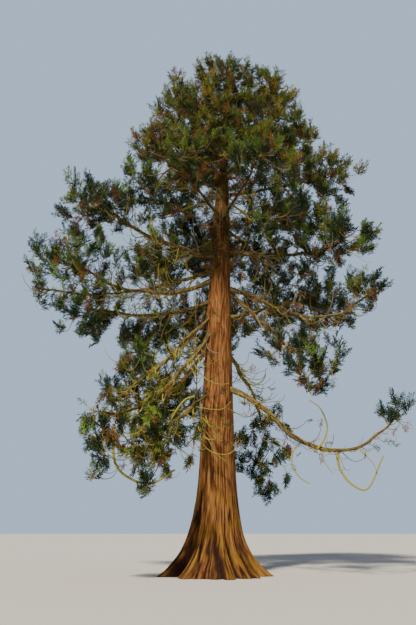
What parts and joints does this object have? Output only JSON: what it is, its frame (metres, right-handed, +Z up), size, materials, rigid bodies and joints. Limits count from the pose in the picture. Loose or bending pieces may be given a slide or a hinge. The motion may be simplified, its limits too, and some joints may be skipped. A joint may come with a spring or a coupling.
{
  "type": "giant sequoia tree",
  "caption": "Tall park conifer with a flared, fluted red-brown trunk, sweeping boughs and separate tufts of dark evergreen foliage up to a rounded top, fixed at the ground.",
  "frame": {"origin": "middle of the flat cut under the trunk at ground level", "axes": "+Z up along the trunk, +X to the right and +Y away from the viewer as the picture sees the tree"},
  "size_m": [18.294, 14.7234, 27.5319],
  "materials": {
    "trunk_bark": "thick fibrous red-brown bark with upright ridges and dark furrows, greenish gold near the ground",
    "bough_bark": "grey-brown to olive flaking bark, paler and greener on the thin branches",
    "foliage": "cord-like evergreen sprays, dark green to bright yellow-green, with some orange-brown dead sprays"
  },
  "bodies": {
    "root": {"back_high_bough": "bough_bark", "back_high_foliage": "foliage", "back_left_low_bough": "bough_bark", "back_left_low_foliage": "foliage", "back_mid_bough": "bough_bark", "back_mid_foliage": "foliage", "back_right_hanging_foliage": "foliage", "back_right_low_bough": "bough_bark", "front_hanging_bough": "bough_bark", "front_left_high_bough": "bough_bark", "front_left_upper_foliage": "foliage", "front_right_high_bough": "bough_bark", "front_right_upper_foliage": "foliage", "left_back_bough": "bough_bark", "left_back_mid_foliage": "foliage", "left_descending_bough": "bough_bark", "left_far_bough": "bough_bark", "left_far_tuft_foliage": "foliage", "left_hanging_bough": "bough_bark", "left_hanging_inner_foliage": "foliage", "left_hanging_outer_foliage": "foliage", "left_high_bough": "bough_bark", "left_lower_bough": "bough_bark", "left_lower_foliage": "foliage", "left_lower_inner_foliage": "foliage", "left_mid_bough": "bough_bark", "left_mid_fan_foliage": "foliage", "left_short_bough": "bough_bark", "left_shoulder_foliage": "foliage", "left_thin_foliage": "foliage", "left_upper_bough": "bough_bark", "left_upper_fan_foliage": "foliage", "left_upper_inner_foliage": "foliage", "right_arm_inner_bough": "bough_bark", "right_arm_outer_bough": "bough_bark", "right_arm_tip_foliage": "foliage", "right_back_low_foliage": "foliage", "right_back_mid_foliage": "foliage", "right_descending_bough": "bough_bark", "right_drooping_bough": "bough_bark", "right_high_bough": "bough_bark", "right_inner_foliage": "foliage", "right_inner_low_foliage": "foliage", "right_long_bough": "bough_bark", "right_long_tip_foliage": "foliage", "right_low_wide_foliage": "foliage", "right_lower_foliage": "foliage", "right_mid_bough": "bough_bark", "right_mid_foliage": "foliage", "right_shoulder_foliage": "foliage", "right_stub_bough": "bough_bark", "right_upper_foliage": "foliage", "top_back_foliage": "foliage", "top_foliage": "foliage", "top_front_foliage": "foliage", "top_left_foliage": "foliage", "top_right_foliage": "foliage", "trunk": "trunk_bark", "trunk_side_hanging_foliage": "foliage"}
  },
  "joints": []
}
